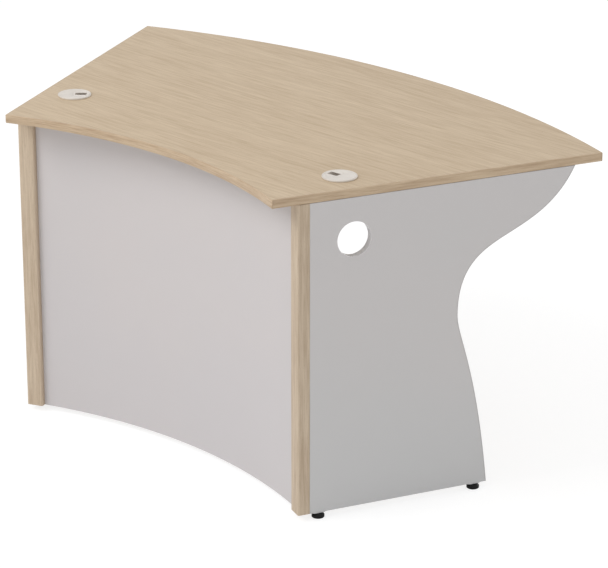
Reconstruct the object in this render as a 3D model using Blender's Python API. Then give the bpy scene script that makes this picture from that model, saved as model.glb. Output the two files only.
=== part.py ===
"""Curved reception counter: one 45 degree segment of a ring of desks.

Metres, +Z up. The origin is on the floor, in the middle of the worktop's outline. X runs along
the chord, -Y is the concave visitor side and +Y the convex user side. Each radial end of the
counter has a frame of its own: x runs outwards along the end, from the centre of the arcs, y runs
square to the end, and z is up. A side is 1 on the right and -1 on the left, and side * y is a
distance from the end's outer face towards the middle of the counter.
"""
import math

import bmesh
import bpy
from mathutils import Matrix, Vector

for old in list(bpy.data.objects):
    bpy.data.objects.remove(old, do_unlink=True)

# Overall sizes
COUNTER_HEIGHT = 0.760
INNER_RADIUS = 1.120
WORKTOP_DEPTH = 0.795
SECTOR_ANGLE = math.radians(45.0)
FLOOR_CLEARANCE = 0.014
FIT_GAP = 0.0003
CUT_OVERRUN = 0.002

# Worktop: a board with plastic edge bands
WORKTOP_THICKNESS = 0.020
BAND_THICKNESS = 0.003
CORNER_RADIUS = 0.0026
ARRIS_RADIUS = 0.0020

# Side panels: boards with an S-shaped rear edge. A reach is measured outwards from the
# worktop's visitor edge, along the end.
SIDE_THICKNESS = 0.018
WAVE_BAND_THICKNESS = 0.002
WAVE_ARRIS_RADIUS = 0.0010
REAR_OVERHANG = 0.0685
WAIST_REACH = 0.4440
WAIST_HEIGHT = 0.4320
FOOT_REACH = 0.524
CABLE_HOLE_RADIUS = 0.040
CABLE_HOLE_REACH = 0.1925
CABLE_HOLE_DROP = 0.115

# Posts, and the fascia that stands behind their fronts and is flush with their backs
FRONT_OVERHANG = 0.060
POST_WIDTH = 0.040
POST_EDGE_RADIUS = 0.004
FASCIA_RECESS = 0.013
FASCIA_THICKNESS = 0.015

# Cable grommets, as distances from the worktop's visitor edge and from the radial end
GROMMET_REACH = 0.1945
GROMMET_FROM_END = 0.0835
FLANGE_RADIUS = 0.039
FLANGE_RISE = 0.0036
FLANGE_RIM = 0.0020
LEDGE_THICKNESS = 0.0008
SLEEVE_OUTER_RADIUS = 0.0345
SLEEVE_WALL = 0.0020
SLEEVE_DEPTH = 0.018
SKIRT_WALL = 0.0014
SKIRT_DEPTH = 0.006
DISC_OFFSET = 0.0151
DISC_RADIUS = 0.0195
HUB_RADIUS = 0.0170
HUB_WALL = 0.0010
HUB_DEPTH = 0.0030
SLOT_LENGTH = 0.027
SLOT_WIDTH = 0.0165
LID_TURNS = {"left": math.radians(42.0), "right": math.radians(184.0)}

# Levelling feet, as distances from the post and from the panel's rear lower corner
FOOT_FRONT_SETBACK = 0.024
FOOT_REAR_SETBACK = 0.029
PAD_RADIUS = 0.0145
PAD_BOSS_RADIUS = 0.0108
COLLAR_LENGTH = 0.036
COLLAR_THICKNESS = 0.0018
SOCKET_RADIUS = 0.0060
SOCKET_LENGTH = 0.025
STUD_RADIUS = 0.0040
STUD_HEAD_RADIUS = 0.0062
STUD_LENGTH = 0.032

# Dowels and cam fittings. A roof is the wood that is left over a blind bore in the worktop.
BLIND_BORE_ROOF = 0.009
DOWEL_RADIUS = 0.004
DOWEL_LENGTH = 0.030
DOWEL_CHAMFER = 0.0008
CAM_RADIUS = 0.0075
CAM_REACH = 0.024
CAM_BACK = 0.0045
BOLT_SHANK_RADIUS = 0.0035
BOLT_THREAD_RADIUS = 0.0025
BOLT_NECK_RADIUS = 0.0021
BOLT_HEAD_LENGTH = 0.0040

# Steel angles behind the fascia, and their screws
BRACKET_LEG = 0.025
BRACKET_WIDTH = 0.022
BRACKET_THICKNESS = 0.002
SCREW_TIP_WALL = 0.0045
SCREW_RADIUS = 0.00175
SCREW_HEAD_RADIUS = 0.0035
SCREW_HEAD_HEIGHT = 0.0016

# Numbers of facets
ARC_STEPS = 32
WAVE_STEPS = 16
ROUND_STEPS = 30
FOOT_STEPS = 20
BORE_STEPS = 10
TINY_STEPS = 8
FILLET_STEPS = 2

# Places along a piece, counted from its nearer end, and proportions of small features, as shares
# of what carries them
WAVE_TOP_SHARES = (0.32, 0.58)
WAVE_WAIST_SHARES = (0.68, 0.13)
WAVE_FOOT_SHARES = (0.38, 0.70)
WORKTOP_DOWEL_SHARES = {"front": 0.10, "rear": 0.18}
WORKTOP_CAM_SHARES = {"front": 0.28, "rear": 0.34}
POST_DOWEL_SHARE = 0.15
FASCIA_DOWEL_SHARE = 0.10
FASCIA_CAM_SHARE = 0.50
BRACKET_ANGLE_SHARE = 0.45
BRACKET_HOLE_SHARE = 0.60
DISC_SEAT_SHARE = 0.60
PAD_CHAMFER_SHARE = 0.09
PAD_RIM_SHARE = 0.50
PAD_BOSS_SHARE = 0.86
PAD_FLOOR_SHARE = 0.28
PAD_CEILING_SHARE = 0.68
EASED_EDGE_SHARE = 0.25

# Sizes that follow
SIDES = {"left": -1, "right": 1}
HALF_ANGLE = SECTOR_ANGLE / 2
OUTER_RADIUS = INNER_RADIUS + WORKTOP_DEPTH
UNDERSIDE = COUNTER_HEIGHT - WORKTOP_THICKNESS
PANEL_TOP = UNDERSIDE - FIT_GAP
CORNER = min(CORNER_RADIUS, BAND_THICKNESS - FIT_GAP)
ARRIS = min(ARRIS_RADIUS, CORNER - FIT_GAP)
POST_FRONT = INNER_RADIUS + FRONT_OVERHANG
FASCIA_FRONT = POST_FRONT + FASCIA_RECESS
POST_BACK = FASCIA_FRONT + FASCIA_THICKNESS
SIDE_FRONT = POST_BACK + FIT_GAP
SIDE_MIDDLE = SIDE_THICKNESS / 2
COLLAR_WIDTH = SIDE_THICKNESS - 2 * FIT_GAP
FASCIA_END = POST_WIDTH + FIT_GAP
FASCIA_MIDDLE = math.sqrt((FASCIA_FRONT + FASCIA_THICKNESS / 2) ** 2 - FASCIA_END ** 2)
WAVE_TOP_REACH = WORKTOP_DEPTH - REAR_OVERHANG
SIDE_TOP_LENGTH = INNER_RADIUS + WAVE_TOP_REACH - SIDE_FRONT
BLIND_DEPTH = WORKTOP_THICKNESS - BLIND_BORE_ROOF
BOLT_HEAD_END = CAM_REACH + BOLT_HEAD_LENGTH / 2
BRACKET_FACE = 2 * FIT_GAP + BRACKET_THICKNESS
SCREW_LENGTH = BRACKET_FACE + FASCIA_THICKNESS - SCREW_TIP_WALL
CORNER_CENTRE = INNER_RADIUS + CORNER
FRONT_LOWEST = CORNER_CENTRE * math.cos(HALF_ANGLE - math.asin(CORNER / CORNER_CENTRE)) - CORNER
ARC_FRAME = Matrix.Translation((0, -(FRONT_LOWEST + OUTER_RADIUS) / 2, 0))

# Finishes: colour as the eye sees it, roughness and metallic value
FINISHES = {
    "oak_decor": ((0.78, 0.70, 0.60), 0.45, 0.0),
    "oak_edge": ((0.75, 0.66, 0.56), 0.40, 0.0),
    "oak_post": ((0.74, 0.65, 0.56), 0.50, 0.0),
    "panel_grey": ((0.73, 0.71, 0.70), 0.50, 0.0),
    "panel_edge_grey": ((0.71, 0.70, 0.69), 0.45, 0.0),
    "fascia_grey": ((0.78, 0.76, 0.75), 0.50, 0.0),
    "grommet_white": ((0.83, 0.81, 0.78), 0.40, 0.0),
    "collar_grey": ((0.78, 0.78, 0.78), 0.40, 0.0),
    "foot_black": ((0.08, 0.08, 0.08), 0.55, 0.0),
    "zinc_steel": ((0.72, 0.73, 0.75), 0.35, 1.0),
    "cam_zinc": ((0.66, 0.66, 0.66), 0.45, 0.9),
    "beech": ((0.80, 0.68, 0.52), 0.70, 0.0),
}


def finish(name, kind):
    """The material of one piece."""
    colour, roughness, metallic = FINISHES[kind]
    made = bpy.data.materials.new(name + "_" + kind)
    made.use_nodes = True
    shader = made.node_tree.nodes["Principled BSDF"]
    shader.inputs["Base Color"].default_value = (*[value ** 2.2 for value in colour], 1.0)
    shader.inputs["Roughness"].default_value = roughness
    shader.inputs["Metallic"].default_value = metallic
    return made


def piece(name, shape, kind, frame=Matrix()):
    """Turn a shape into a named object that stands in the given frame."""
    bmesh.ops.recalc_face_normals(shape, faces=shape.faces)
    mesh = bpy.data.meshes.new(name)
    shape.to_mesh(mesh)
    shape.free()
    mesh.shade_smooth()
    mesh.set_sharp_from_angle(angle=math.radians(35.0))
    if kind:
        mesh.materials.append(finish(name, kind))
    made = bpy.data.objects.new(name, mesh)
    bpy.context.scene.collection.objects.link(made)
    made.matrix_world = frame
    return made


def cut(target, shape, frame=Matrix()):
    """Take a shape, which may be several bodies that don't meet, out of a piece."""
    cutter = piece(target.name + "_cutter", shape, None, frame)
    cutter.hide_render = True
    cutter.display_type = "WIRE"
    boolean = target.modifiers.new("bores", "BOOLEAN")
    boolean.operation = "DIFFERENCE"
    boolean.solver = "EXACT"
    boolean.object = cutter


def add_loft(shape, loops, frame=Matrix()):
    """Add a body through loops of points of equal count, closed by a flat face at each end."""
    rings = [[shape.verts.new(frame @ Vector(point)) for point in loop] for loop in loops]
    for low, high in zip(rings, rings[1:]):
        for index in range(len(low)):
            after = (index + 1) % len(low)
            shape.faces.new((low[index], low[after], high[after], high[index]))
    shape.faces.new(rings[0])
    shape.faces.new(rings[-1])


def add_turned(shape, profile, steps, frame=Matrix()):
    """Add a body turned about the frame's z from (radius, height) pairs, which start and end on
    the axis or else go round a closed ring."""
    rings = []
    for radius, height in profile:
        count = steps if radius else 1
        turns = [2 * math.pi * index / count for index in range(count)]
        points = [(radius * math.cos(turn), radius * math.sin(turn), height) for turn in turns]
        rings.append([shape.verts.new(frame @ Vector(point)) for point in points])
    if profile[0][0]:
        rings.append(rings[0])
    for low, high in zip(rings, rings[1:]):
        for index in range(steps):
            after = (index + 1) % steps
            corners = []
            for vert in (low[index % len(low)], low[after % len(low)],
                         high[after % len(high)], high[index % len(high)]):
                if vert not in corners:
                    corners.append(vert)
            shape.faces.new(corners)


def add_bore(shape, radius, low, high, steps, frame):
    """Add a plain round body along the frame's z, as a cutter."""
    add_turned(shape, [(0, low), (radius, low), (radius, high), (0, high)], steps, frame)


def end_frame(side):
    """The frame of a radial end."""
    return ARC_FRAME @ Matrix.Rotation(math.pi / 2 - side * HALF_ANGLE, 4, "Z")


def at_end(side, place, direction):
    """A frame at a place in the frame of a radial end, whose z runs in a direction there."""
    turn = Vector(direction).to_track_quat("Z", "Y").to_matrix().to_4x4()
    return end_frame(side) @ Matrix.Translation(place) @ turn


def top_places(shares):
    """Places along a side panel's upper edge, from shares counted from its front and rear."""
    return {"front": SIDE_FRONT + shares["front"] * SIDE_TOP_LENGTH,
            "rear": SIDE_FRONT + (1 - shares["rear"]) * SIDE_TOP_LENGTH}


def upright_places(share):
    """Heights on the upright pieces, from a share counted from their lower and upper ends."""
    length = PANEL_TOP - FLOOR_CLEARANCE
    return {"lower": FLOOR_CLEARANCE + share * length, "upper": PANEL_TOP - share * length}


def on_arc(radius, angle):
    """A point in plan, with the angle counted from the middle of the counter to the right."""
    return (radius * math.sin(angle), radius * math.cos(angle))


def arc_chain(radius, inset):
    """Points in plan along an arc, from left to right, that stop short of both ends."""
    limit = HALF_ANGLE - math.asin(inset / radius)
    return [on_arc(radius, limit * (2 * index / ARC_STEPS - 1)) for index in range(ARC_STEPS + 1)]


def edge_chain(radius, inward, inset):
    """A curved edge of the worktop with its two rounded corners, moved inwards by an inset.
    inward is 1 on the concave edge and -1 on the convex one."""
    middle = radius + inward * CORNER
    limit = HALF_ANGLE - math.asin(CORNER / middle)
    arc = [on_arc(radius + inward * inset, limit * (2 * index / ARC_STEPS - 1))
           for index in range(ARC_STEPS + 1)]
    centre = Vector(on_arc(middle, limit))
    start = math.pi / 2 - limit + (math.pi if inward > 0 else 0)
    stop = -HALF_ANGLE + (2 * math.pi if inward > 0 else 0)
    corner = []
    for index in range(1, FILLET_STEPS + 2):
        turn = start + (stop - start) * index / (FILLET_STEPS + 1)
        corner.append(tuple(centre + (CORNER - inset) * Vector((math.cos(turn), math.sin(turn)))))
    mirrored = [(-x, y) for x, y in reversed(corner)]
    return mirrored + arc + corner


def rounded_levels(low, high, radius):
    """(height, inset) pairs up an edge whose two arrises are rounded."""
    levels = []
    for index in range(FILLET_STEPS + 1):
        turn = math.pi / 2 * index / FILLET_STEPS
        levels.append((low + radius * (1 - math.cos(turn)), radius * (1 - math.sin(turn))))
    return levels + [(low + high - height, inset) for height, inset in reversed(levels)]


def wave_edge(inset):
    """The S-shaped rear edge, top to bottom, as (x, z) in an end's frame, moved inwards by an
    inset: one curve from the worktop to the waist and one from the waist to the floor."""
    top = Vector((WAVE_TOP_REACH, PANEL_TOP))
    waist = Vector((WAIST_REACH, WAIST_HEIGHT))
    foot = Vector((FOOT_REACH, FLOOR_CLEARANCE))
    rise = PANEL_TOP - WAIST_HEIGHT
    fall = WAIST_HEIGHT - FLOOR_CLEARANCE
    top_handle = Vector((WAVE_TOP_SHARES[0] * (WAVE_TOP_REACH - WAIST_REACH), WAVE_TOP_SHARES[1] * rise))
    foot_handle = Vector((WAVE_FOOT_SHARES[0] * (FOOT_REACH - WAIST_REACH), -WAVE_FOOT_SHARES[1] * fall))
    curves = (
        (top, top - top_handle, waist + Vector((0, WAVE_WAIST_SHARES[0] * rise)), waist),
        (waist, waist - Vector((0, WAVE_WAIST_SHARES[1] * fall)), foot - foot_handle, foot),
    )
    points = []
    for first, leave, arrive, last in curves:
        for index in range(WAVE_STEPS + 1):
            t = index / WAVE_STEPS
            u = 1 - t
            place = u ** 3 * first + 3 * u * u * t * leave + 3 * u * t * t * arrive + t ** 3 * last
            slope = u * u * (leave - first) + 2 * u * t * (arrive - leave) + t * t * (last - arrive)
            shift = inset * slope.length / abs(slope.y)
            points.append((INNER_RADIUS + place.x - shift, place.y))
        if last is waist:
            points.pop()
    return points


def dowel_places(side):
    """Each dowel of an end: its name, a frame on the joint of its two boards with z along the
    dowel, and how far it reaches along z."""
    places = []
    for name, x in top_places(WORKTOP_DOWEL_SHARES).items():
        spot = (x, side * SIDE_MIDDLE, UNDERSIDE)
        places.append(("worktop_dowel_" + name, at_end(side, spot, (0, 0, 1)), BLIND_DEPTH))
    for name, height in upright_places(POST_DOWEL_SHARE).items():
        spot = (POST_BACK, side * SIDE_MIDDLE, height)
        places.append(("post_dowel_" + name, at_end(side, spot, (1, 0, 0)), DOWEL_LENGTH / 2))
    for name, height in upright_places(FASCIA_DOWEL_SHARE).items():
        spot = (FASCIA_MIDDLE, side * POST_WIDTH, height)
        places.append(("fascia_dowel_" + name, at_end(side, spot, (0, side, 0)), DOWEL_LENGTH / 2))
    return places


def cam_places(side):
    """Each cam fitting of an end: its name, the bolt's frame on the joint of the two boards with
    z towards the cam, the cam's frame on the bolt's axis with z out of its board, and how far
    the board's face is along that."""
    places = []
    for name, x in top_places(WORKTOP_CAM_SHARES).items():
        bolt = at_end(side, (x, side * SIDE_MIDDLE, UNDERSIDE), (0, 0, -1))
        cam = at_end(side, (x, side * SIDE_MIDDLE, UNDERSIDE - CAM_REACH), (0, side, 0))
        places.append(("worktop_cam_" + name, bolt, cam, SIDE_THICKNESS - SIDE_MIDDLE))
    height = upright_places(FASCIA_CAM_SHARE)["lower"]
    bolt = at_end(side, (FASCIA_MIDDLE, side * POST_WIDTH, height), (0, side, 0))
    cam = at_end(side, (FASCIA_MIDDLE, side * (POST_WIDTH + CAM_REACH), height), (1, 0, 0))
    places.append(("fascia_cam", bolt, cam, FASCIA_THICKNESS / 2))
    return places


def bracket_frame(side):
    """A frame on the fascia's back, right under the worktop, with x outwards."""
    angle = side * BRACKET_ANGLE_SHARE * HALF_ANGLE
    x, y = on_arc(POST_BACK, angle)
    turn = Matrix.Rotation(math.pi / 2 - angle, 4, "Z")
    return ARC_FRAME @ Matrix.Translation((x, y, UNDERSIDE)) @ turn


def screw_places(side):
    """Each screw of an angle: its name and a frame under its head, with z out of the head."""
    reach = BRACKET_HOLE_SHARE * BRACKET_LEG
    up = Matrix.Translation((reach, 0, -BRACKET_FACE)) @ Matrix.Rotation(math.pi, 4, "X")
    level = Matrix.Translation((BRACKET_FACE, 0, -reach)) @ Matrix.Rotation(math.pi / 2, 4, "Y")
    return [("worktop_screw", bracket_frame(side) @ up), ("fascia_screw", bracket_frame(side) @ level)]


def grommet_frame(side):
    """An unturned frame on the worktop's surface, in the middle of a grommet."""
    spot = Vector((INNER_RADIUS + GROMMET_REACH, side * GROMMET_FROM_END, COUNTER_HEIGHT))
    return Matrix.Translation(end_frame(side) @ spot)


def foot_frames(side):
    """Frames on the floor at an end's two feet."""
    reaches = {"front": POST_BACK + FOOT_FRONT_SETBACK,
               "rear": INNER_RADIUS + FOOT_REACH - FOOT_REAR_SETBACK}
    return {name: at_end(side, (x, side * SIDE_MIDDLE, 0), (0, 0, 1)) for name, x in reaches.items()}


def cut_fixings(board, sides):
    """Bore a board for the dowels, bolts, screws and cams at its ends. Each fixing has one bore
    that runs through both of its boards, and misses the others."""
    bores = bmesh.new()
    pockets = bmesh.new()
    for side in sides:
        for _, frame, reach in dowel_places(side):
            add_bore(bores, DOWEL_RADIUS + FIT_GAP, reach - DOWEL_LENGTH - FIT_GAP, reach + FIT_GAP,
                     BORE_STEPS, frame)
        for _, bolt, cam, face in cam_places(side):
            thread = BOLT_THREAD_RADIUS + FIT_GAP
            shank = BOLT_SHANK_RADIUS + FIT_GAP
            add_turned(bores, [
                (0, -BLIND_DEPTH - FIT_GAP), (thread, -BLIND_DEPTH - FIT_GAP), (thread, FIT_GAP / 2),
                (shank, FIT_GAP / 2), (shank, CAM_REACH), (0, CAM_REACH),
            ], BORE_STEPS, bolt)
            add_bore(pockets, CAM_RADIUS, -CAM_BACK - FIT_GAP, face + CUT_OVERRUN, FOOT_STEPS, cam)
        for _, frame in screw_places(side):
            add_bore(bores, SCREW_RADIUS + FIT_GAP, -SCREW_LENGTH - FIT_GAP, 0, TINY_STEPS, frame)
    cut(board, bores)
    cut(board, pockets)


def build_worktop():
    """The board of the worktop, bored through for the grommets and from below for fixings."""
    inner = arc_chain(INNER_RADIUS + BAND_THICKNESS + FIT_GAP, BAND_THICKNESS + FIT_GAP)
    outer = arc_chain(OUTER_RADIUS - BAND_THICKNESS - FIT_GAP, BAND_THICKNESS + FIT_GAP)
    board = bmesh.new()
    add_loft(board, [[(x, y, z) for x, y in inner + outer[::-1]] for z in (UNDERSIDE, COUNTER_HEIGHT)])
    made = piece("worktop_board", board, "oak_decor", ARC_FRAME)
    cut_fixings(made, SIDES.values())
    holes = bmesh.new()
    for side in SIDES.values():
        add_bore(holes, SLEEVE_OUTER_RADIUS + FIT_GAP, -WORKTOP_THICKNESS - CUT_OVERRUN, CUT_OVERRUN,
                 ROUND_STEPS, grommet_frame(side))
    cut(made, holes)


def build_worktop_bands():
    """Edge bands: each curved one goes round two corners, each end one lies between them."""
    levels = rounded_levels(UNDERSIDE, COUNTER_HEIGHT, ARRIS)
    for name, radius, inward in (("front", INNER_RADIUS, 1), ("rear", OUTER_RADIUS, -1)):
        loops = []
        for z, inset in levels:
            outside = edge_chain(radius, inward, inset)
            inside = arc_chain(radius + inward * BAND_THICKNESS, inset)
            loops.append([(x, y, z) for x, y in outside + inside[::-1]])
        band = bmesh.new()
        add_loft(band, loops)
        piece("worktop_edge_" + name, band, "oak_edge", ARC_FRAME)

    start = INNER_RADIUS + BAND_THICKNESS + FIT_GAP
    stop = OUTER_RADIUS - BAND_THICKNESS - FIT_GAP
    section = [(inset, z) for z, inset in levels]
    section += [(BAND_THICKNESS, COUNTER_HEIGHT), (BAND_THICKNESS, UNDERSIDE)]
    for name, side in SIDES.items():
        band = bmesh.new()
        add_loft(band, [[(x, side * depth, z) for depth, z in section] for x in (start, stop)])
        piece("worktop_edge_" + name, band, "oak_edge", end_frame(side))


def build_side(name, side):
    """A side panel with its bores and cable hole, and the band along its S-shaped edge."""
    outline = [(SIDE_FRONT, FLOOR_CLEARANCE), (SIDE_FRONT, PANEL_TOP)]
    outline += wave_edge(WAVE_BAND_THICKNESS + FIT_GAP)
    panel = bmesh.new()
    add_loft(panel, [[(x, side * depth, z) for x, z in outline] for depth in (0, SIDE_THICKNESS)])
    made = piece("side_panel_" + name, panel, "panel_grey", end_frame(side))
    cut_fixings(made, [side])
    holes = bmesh.new()
    hole = (INNER_RADIUS + CABLE_HOLE_REACH, 0, COUNTER_HEIGHT - CABLE_HOLE_DROP)
    add_bore(holes, CABLE_HOLE_RADIUS, -CUT_OVERRUN, SIDE_THICKNESS + CUT_OVERRUN, ROUND_STEPS,
             at_end(side, hole, (0, side, 0)))
    for frame in foot_frames(side).values():
        add_bore(holes, SOCKET_RADIUS + FIT_GAP, FLOOR_CLEARANCE - CUT_OVERRUN,
                 FLOOR_CLEARANCE + SOCKET_LENGTH + FIT_GAP, FOOT_STEPS, frame)
    cut(made, holes)

    arris = min(WAVE_ARRIS_RADIUS, WAVE_BAND_THICKNESS - FIT_GAP)
    loops = []
    for depth, inset in rounded_levels(0, SIDE_THICKNESS, arris):
        section = wave_edge(inset) + wave_edge(WAVE_BAND_THICKNESS)[::-1]
        loops.append([(x, side * depth, z) for x, z in section])
    band = bmesh.new()
    add_loft(band, loops)
    piece("side_edge_" + name, band, "panel_edge_grey", end_frame(side))


def build_post(name, side):
    """A post whose two front edges are rounded."""
    outline = [(POST_BACK, POST_WIDTH)]
    for middle, start in ((POST_WIDTH - POST_EDGE_RADIUS, math.pi / 2), (POST_EDGE_RADIUS, math.pi)):
        for index in range(FILLET_STEPS + 1):
            turn = start + math.pi / 2 * index / FILLET_STEPS
            outline.append((POST_FRONT + POST_EDGE_RADIUS + POST_EDGE_RADIUS * math.cos(turn),
                            middle + POST_EDGE_RADIUS * math.sin(turn)))
    outline.append((POST_BACK, 0))
    post = bmesh.new()
    add_loft(post, [[(x, side * depth, z) for x, depth in outline] for z in (FLOOR_CLEARANCE, PANEL_TOP)])
    cut_fixings(piece("post_" + name, post, "oak_post", end_frame(side)), [side])


def build_fascia():
    """The curved panel between the posts."""
    outline = arc_chain(FASCIA_FRONT, FASCIA_END) + arc_chain(POST_BACK, FASCIA_END)[::-1]
    panel = bmesh.new()
    add_loft(panel, [[(x, y, z) for x, y in outline] for z in (FLOOR_CLEARANCE, PANEL_TOP)])
    cut_fixings(piece("fascia_panel", panel, "fascia_grey", ARC_FRAME), SIDES.values())


def build_grommet(name, side):
    """A flanged liner in the worktop, a lid that turns in it, and a slotted disc that turns in
    the lid, off its middle."""
    frame = grommet_frame(side)
    rim = FLANGE_RADIUS - FLANGE_RIM
    ease = EASED_EDGE_SHARE * FLANGE_RISE
    sleeve_bore = SLEEVE_OUTER_RADIUS - SLEEVE_WALL
    ledge = FIT_GAP + LEDGE_THICKNESS
    liner = bmesh.new()
    add_turned(liner, [
        (FLANGE_RADIUS, FIT_GAP), (FLANGE_RADIUS, FLANGE_RISE - ease), (FLANGE_RADIUS - ease, FLANGE_RISE),
        (rim, FLANGE_RISE), (rim, ledge), (sleeve_bore, ledge), (sleeve_bore, -SLEEVE_DEPTH),
        (SLEEVE_OUTER_RADIUS, -SLEEVE_DEPTH), (SLEEVE_OUTER_RADIUS, FIT_GAP),
    ], ROUND_STEPS)
    piece("grommet_liner_" + name, liner, "grommet_white", frame)

    lid_frame = frame @ Matrix.Rotation(LID_TURNS[name], 4, "Z")
    seat = ledge + FIT_GAP
    skirt = sleeve_bore - FIT_GAP
    lid = bmesh.new()
    add_turned(lid, [
        (0, seat), (skirt - SKIRT_WALL, seat), (skirt - SKIRT_WALL, seat - SKIRT_DEPTH),
        (skirt, seat - SKIRT_DEPTH), (skirt, seat), (rim - FIT_GAP, seat),
        (rim - FIT_GAP, FLANGE_RISE), (0, FLANGE_RISE),
    ], ROUND_STEPS)
    made = piece("grommet_lid_" + name, lid, "grommet_white", lid_frame)
    disc_frame = lid_frame @ Matrix.Translation((DISC_OFFSET, 0, 0))
    disc_seat = FLANGE_RISE - DISC_SEAT_SHARE * (FLANGE_RISE - seat)
    low = seat - SKIRT_DEPTH - CUT_OVERRUN
    high = FLANGE_RISE + CUT_OVERRUN
    opening = bmesh.new()
    add_turned(opening, [
        (0, low), (HUB_RADIUS + FIT_GAP, low), (HUB_RADIUS + FIT_GAP, disc_seat),
        (DISC_RADIUS + FIT_GAP, disc_seat), (DISC_RADIUS + FIT_GAP, high), (0, high),
    ], ROUND_STEPS)
    cut(made, opening, disc_frame)

    hub_low = disc_seat - HUB_DEPTH
    disc_low = disc_seat + FIT_GAP
    disc = bmesh.new()
    add_turned(disc, [
        (0, disc_low), (HUB_RADIUS - HUB_WALL, disc_low), (HUB_RADIUS - HUB_WALL, hub_low),
        (HUB_RADIUS, hub_low), (HUB_RADIUS, disc_low), (DISC_RADIUS, disc_low),
        (DISC_RADIUS, FLANGE_RISE), (0, FLANGE_RISE),
    ], ROUND_STEPS)
    made = piece("grommet_disc_" + name, disc, "grommet_white", disc_frame)
    corners = [(-SLOT_LENGTH / 2, -SLOT_WIDTH / 2), (SLOT_LENGTH / 2, -SLOT_WIDTH / 2),
               (SLOT_LENGTH / 2, SLOT_WIDTH / 2), (-SLOT_LENGTH / 2, SLOT_WIDTH / 2)]
    slot = bmesh.new()
    add_loft(slot, [[(x, y, z) for x, y in corners] for z in (low, high)])
    cut(made, slot, disc_frame)


def round_ended(length, width, inset):
    """Points in plan of an oblong with round ends, or of a circle where both sizes are the same,
    moved inwards by an inset."""
    points = []
    for index in range(FOOT_STEPS):
        turn = 2 * math.pi * (index + 1 / 2) / FOOT_STEPS
        middle = math.copysign((length - width) / 2, math.cos(turn))
        reach = width / 2 - inset
        points.append((middle + reach * math.cos(turn), reach * math.sin(turn)))
    return points


def build_foot(name, frame):
    """A levelling foot: a threaded socket whose oblong collar is under the panel, a stud that
    screws in it, and a round pad that grips the stud's head."""
    thread = STUD_RADIUS + FIT_GAP
    collar_top = FLOOR_CLEARANCE - FIT_GAP
    collar_low = collar_top - COLLAR_THICKNESS
    ease = EASED_EDGE_SHARE * COLLAR_THICKNESS
    socket_top = FLOOR_CLEARANCE + SOCKET_LENGTH
    collar = round_ended(COLLAR_LENGTH, COLLAR_WIDTH, 0)
    sleeve = round_ended(2 * SOCKET_RADIUS, 2 * SOCKET_RADIUS, 0)
    levels = [(round_ended(COLLAR_LENGTH, COLLAR_WIDTH, ease), collar_low), (collar, collar_low + ease),
              (collar, collar_top), (sleeve, collar_top), (sleeve, socket_top)]
    socket = bmesh.new()
    add_loft(socket, [[(x, y, z) for x, y in outline] for outline, z in levels])
    made = piece("foot_socket_" + name, socket, "collar_grey", frame)
    bore = bmesh.new()
    add_bore(bore, thread, collar_low - CUT_OVERRUN, socket_top + CUT_OVERRUN, FOOT_STEPS, Matrix())
    cut(made, bore, frame)

    pad_top = collar_low - FIT_GAP
    floor = PAD_FLOOR_SHARE * pad_top
    ceiling = PAD_CEILING_SHARE * pad_top
    chamfer = PAD_CHAMFER_SHARE * pad_top
    pad = bmesh.new()
    add_turned(pad, [
        (0, 0), (PAD_RADIUS - chamfer, 0), (PAD_RADIUS, chamfer), (PAD_RADIUS, PAD_RIM_SHARE * pad_top),
        (PAD_BOSS_RADIUS, PAD_BOSS_SHARE * pad_top), (PAD_BOSS_RADIUS, pad_top), (thread, pad_top),
        (thread, ceiling), (STUD_HEAD_RADIUS + FIT_GAP, ceiling), (STUD_HEAD_RADIUS + FIT_GAP, floor),
        (0, floor),
    ], FOOT_STEPS)
    piece("foot_pad_" + name, pad, "foot_black", frame)

    low = floor + FIT_GAP
    head_top = ceiling - FIT_GAP
    tip = EASED_EDGE_SHARE * STUD_RADIUS
    stud = bmesh.new()
    add_turned(stud, [
        (0, low), (STUD_HEAD_RADIUS, low), (STUD_HEAD_RADIUS, head_top), (STUD_RADIUS, head_top),
        (STUD_RADIUS, low + STUD_LENGTH - tip), (STUD_RADIUS - tip, low + STUD_LENGTH),
        (0, low + STUD_LENGTH),
    ], BORE_STEPS)
    piece("foot_stud_" + name, stud, "zinc_steel", frame)


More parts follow.
